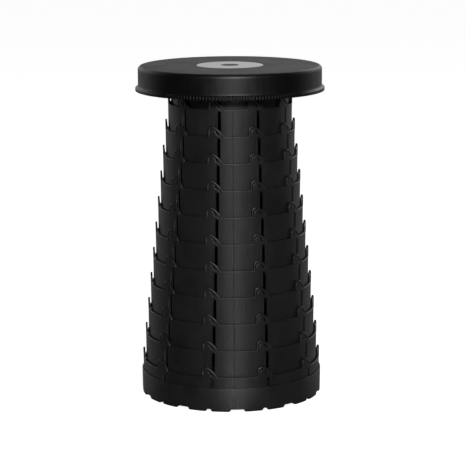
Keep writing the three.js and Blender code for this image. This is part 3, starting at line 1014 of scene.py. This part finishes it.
collar_wall = wall_faces(collar_outer, collar_inside, collar_kept)

flange_inner = collar_inner - FLANGE_WIDTH
flange_outer = collar_inner + COLLAR_GAP
flange = turned([
    (flange_outer, flange_top), (flange_inner + 0.3, flange_top), (flange_inner, flange_top - 0.3),
    (flange_inner, under_flange + 0.3), (flange_inner + 0.3, under_flange),
    (collar_inner - 1, under_flange), (collar_inner - 0.3, under_flange - 0.3),
    (collar_inner, under_flange - 1), (flange_outer, under_flange - 1),
], 240, joined=True)
make_piece("seat_collar_moulded", collar_wall, flange, *pegs(0, rim_height(1)), body="seat",
           finish=ring_plastic, instead_of=["seat_collar"], slot="ring_plastic")

# %% [markdown]
# The badge is a thin metal disc with a softened edge, let into the middle of the seat. It is
# plain, with a round dark inlay in its middle. Both are profiles turned round the axis, as
# a disc from a lathe is, so their edges catch the light all round.

# %% Build the badge
BADGE_BOTTOM = 449.2
INLAY_RADIUS = 12.5
BADGE_COLUMNS = 180
badge_profile = np.concatenate([
    straight(15, BADGE_BOTTOM, BADGE_RADIUS - 0.2, BADGE_BOTTOM, 3),
    arc(BADGE_RADIUS - 0.35, SEAT_TOP - 0.35, 0.35, 0, 90, 5),
    straight(BADGE_RADIUS - 1.5, SEAT_TOP, INLAY_RADIUS + 0.6, SEAT_TOP, 6),
    [(INLAY_RADIUS + 0.25, SEAT_TOP - 0.08), (INLAY_RADIUS + 0.15, SEAT_TOP - 0.3)],
    straight(INLAY_RADIUS, SEAT_TOP - 0.35, 3, SEAT_TOP - 0.35, 2),
])
make_piece("seat_badge_disc", turned(badge_profile, BADGE_COLUMNS), body="seat",
           finish=badge_metal, instead_of=["seat_badge"], slot="badge_metal")
inlay_profile = np.concatenate([
    [(6, SEAT_TOP - 0.45), (INLAY_RADIUS, SEAT_TOP - 0.45)],
    arc(INLAY_RADIUS - 0.25, SEAT_TOP - 0.35, 0.25, 0, 90, 3),
    [(6, SEAT_TOP - 0.05)],
])
make_piece("seat_badge_inlay", turned(inlay_profile, BADGE_COLUMNS), body="seat",
           finish=seat_plastic, slot="seat_plastic")

# %% [markdown]
# The screws are pan-head screws with a cross recess. The head is a table of points round
# the screw's own axis, and the recess is pressed into it where a point lies on one of the
# two arms of the cross.

# %% Build the screws
HEAD_RADIUS = 3.4
HEAD_TALL = 2.0
ARM_HALF = 0.45
ARM_REACH = 2.0
SOCKET_DEPTH = 1.1
head_top = under_flange - 0.3
screw_columns = np.linspace(0, FULL_TURN, 64, endpoint=False)
face_radii = np.concatenate([np.linspace(0.2, 2.4, 12), [2.7, 3.0, 3.2, 3.35, HEAD_RADIUS]])


def screw(x, y):
    """A pan head with a cross recess, and a plain shank that goes up into the seat.

    The head falls off with a power of the radius, and the recess is where the nearer arm of
    the cross is closer than its half width.
    """
    across = face_radii[:, None] * np.cos(screw_columns)
    along_arm = face_radii[:, None] * np.sin(screw_columns)
    arm = np.minimum(np.abs(across), np.abs(along_arm))
    in_reach = 1 - eased(face_radii, ARM_REACH - 0.1, ARM_REACH + 0.1)
    recess = (1 - eased(arm, ARM_HALF - 0.1, ARM_HALF + 0.1)) * in_reach[:, None]
    dome = HEAD_TALL * np.sqrt(np.clip(1 - (face_radii / (HEAD_RADIUS + 0.6)) ** 2.6, 0, 1))
    level = head_top - dome[:, None] + SOCKET_DEPTH * recess
    face = np.stack([x + across, y + along_arm, level], axis=-1)
    radii = np.array([HEAD_RADIUS, HEAD_RADIUS - 0.2, 1.3, 1.2, 1.2, 0.3])[:, None]
    levels = np.array([head_top - 0.2, head_top, head_top, head_top + 0.2,
                       FLANGE_TOP + 6, FLANGE_TOP + 8])
    shank = np.stack(np.broadcast_arrays(
        x + radii * np.cos(screw_columns), y + radii * np.sin(screw_columns), levels[:, None],
    ), axis=-1)
    return loop_faces(np.concatenate([face, shank]))


for number, (x, y) in enumerate(screw_places, start=1):
    make_piece(f"seat_screw_{number}_turned", screw(x, y), body="seat", finish=screw_steel,
               instead_of=[f"seat_screw_{number}"], slot="screw_steel")

# %% [markdown]
# ## Floor, light and camera
#
# The stool was photographed on seamless white. A room that is white all round would turn
# black plastic grey, so the world is white for the camera alone. As a light it is weak, and
# what the plastic mirrors is black but for a low white backdrop behind the stool, which the
# sitting face and the badge show at their flat angle. The world isn't sampled as a lamp,
# because its weak light would then show in the gloss as well.

# %% World
scene = bpy.context.scene
scene.view_settings.view_transform = "Standard"
AMBIENT = 0.2
BACKDROP = 0.85

world = bpy.data.worlds.new("studio")
scene.world = world
world.use_nodes = True
world.cycles.sampling_method = "NONE"


def add_world(kind, inputs=None, **settings):
    """Adds a node to the world."""
    return add_node(world.node_tree, kind, inputs, **settings)


def mirrored(add, path):
    """One for rays that are mirrored or go through glass."""
    return combined(add, "MAXIMUM", path.outputs["Is Glossy Ray"],
                    path.outputs["Is Transmission Ray"])


sky = world.node_tree.nodes["Background"]
sky.inputs["Color"].default_value = (1, 1, 1, 1)
path = add_world("ShaderNodeLightPath")
way = add_world("ShaderNodeTexCoord")
parts = add_world("ShaderNodeSeparateXYZ", {"Vector": way.outputs["Generated"]})
behind = mapped(add_world, parts.outputs["Y"], 0.1, 0.6, 0, BACKDROP)
low = mapped(add_world, parts.outputs["Z"], 0.4, 0.65, 1, 0)
light = add_world("ShaderNodeMix", {
    "Factor": mirrored(add_world, path), "A": AMBIENT,
    "B": combined(add_world, "MULTIPLY", behind, low),
})
strength = combined(add_world, "MAXIMUM", light.outputs["Result"], path.outputs["Is Camera Ray"])
world.node_tree.links.new(strength, sky.inputs["Strength"])
print("world light:", AMBIENT, "backdrop in mirrors:", BACKDROP)

# %% [markdown]
# The floor glows almost up to white for the camera, and the light on it does the rest, so
# the stool's shadow still shows. Studio paper has a slight gloss, which throws a blurred
# image of the key light up onto the lower rings. So a mirrored ray meets a floor that is
# nearly black under a clear coat. Under the stool, where little light gets in, the glow ends
# in a dark disc of painted shade, which lies a little to the back to leave the gaps of the feet
# clear.

# %% Floor
FLOOR_COLOUR = 0.8
FLOOR_GLOSS = 1.0
FLOOR_GLOW = 0.8
FLOOR_MIRRORED = 0.04
FOOT_SHADE = 0.1165
FOOT_SHADE_BACK = 0.006
FOOT_SHADE_FADE = 0.004
COAT_BLUR = 0.27
FLOOR_HALF = 30.0

floor_finish, tree, shader, add = new_finish("studio_floor")
shader.inputs["Roughness"].default_value = 0.9
shader.inputs["Specular IOR Level"].default_value = 0.0
shader.inputs["Coat Roughness"].default_value = COAT_BLUR
shader.inputs["Emission Color"].default_value = (1, 1, 1, 1)
path = add("ShaderNodeLightPath")
in_mirror = mirrored(add, path)
tree.links.new(mapped(add, in_mirror, 0, 1, FLOOR_COLOUR, 0), shader.inputs["Base Color"])
tree.links.new(mapped(add, in_mirror, 0, 1, 0, FLOOR_GLOSS), shader.inputs["Coat Weight"])
shown = combined(add, "MULTIPLY", path.outputs["Is Camera Ray"], FLOOR_GLOW)
reflected = combined(add, "MULTIPLY", in_mirror, FLOOR_MIRRORED)
# Painted shade: the floor's glow fades to nought in a disc under the stool.
place = add("ShaderNodeTexCoord").outputs["Object"]
from_shade = add("ShaderNodeVectorMath", {0: place, 1: (0, FOOT_SHADE_BACK, 0)},
                 operation="SUBTRACT")
away = add("ShaderNodeVectorMath", {0: from_shade.outputs["Vector"]}, operation="LENGTH")
open_floor = mapped(add, away.outputs["Value"], FOOT_SHADE - FOOT_SHADE_FADE, FOOT_SHADE, 0, 1)
glow = combined(add, "MULTIPLY", combined(add, "MAXIMUM", shown, reflected), open_floor)
tree.links.new(glow, shader.inputs["Emission Strength"])

sheet = bpy.data.meshes.new("studio_floor")
corners = [(-1, -1), (1, -1), (1, 1), (-1, 1)]
sheet.from_pydata([(FLOOR_HALF * x, FLOOR_HALF * y, 0) for x, y in corners], [], [(0, 1, 2, 3)])
floor = bpy.data.objects.new("studio_floor", sheet)
sheet.materials.append(floor_finish)
scene.collection.objects.link(floor)
print("floor glow:", FLOOR_GLOW, "and in mirrors:", FLOOR_MIRRORED)

# %% [markdown]
# The shadow under the lip tells where the key light stands: far in front, a little to the
# right, and 18 degrees up. It makes the upright highlight down the middle of every ring. Two
# weak lamps, above and behind, lift the edges and the seat.

# %% Lamps
def soft_lamp(name, place, aim, width, tall, power):
    """A rectangular lamp at a place in metres, turned to its aim."""
    data = bpy.data.lights.new(name, "AREA")
    data.shape = "RECTANGLE"
    data.size, data.size_y = width, tall
    data.energy = power
    lamp = bpy.data.objects.new(name, data)
    lamp.location = place
    way = Vector(aim) - Vector(place)
    lamp.rotation_mode = "QUATERNION"
    lamp.rotation_quaternion = way.to_track_quat("-Z", "Y")
    scene.collection.objects.link(lamp)


soft_lamp("key", (0.5, -5.0, 1.95), (0, 0, 0.3), 0.35, 0.6, 175)
soft_lamp("overhead_softbox", (0.1, -0.75, 2.0), (0, 0, 0.4), 0.6, 0.5, 3)
soft_lamp("back_softbox", (0.6, 1.3, 1.2), (0, 0, 0.45), 0.8, 0.6, 2)
print("lamps placed")

# %% [markdown]
# The camera was fitted to the photograph: it stands 2.6 metres from the stool's axis, 27
# centimetres above the seat, and looks down by 11 degrees through a long lens.

# %% Camera
CAMERA_AWAY = 2.575
CAMERA_HEIGHT = 0.716
CAMERA_TURN = 0.62
LOOK_DOWN = 10.91
LOOK_RIGHT = 0.108
CAMERA_ROLL = 0.27
LENS = 148.05

camera_data = bpy.data.cameras.new("camera")
camera_data.lens = LENS
camera_data.sensor_width = 36
camera = bpy.data.objects.new("camera", camera_data)
x, y, _ = place_round(CAMERA_AWAY, np.radians(CAMERA_TURN), 0)
camera.location = (x, y, CAMERA_HEIGHT)
camera.rotation_euler = np.radians([90 - LOOK_DOWN, CAMERA_ROLL, CAMERA_TURN - LOOK_RIGHT])
scene.collection.objects.link(camera)
scene.camera = camera
print("camera at", tuple(camera.location))
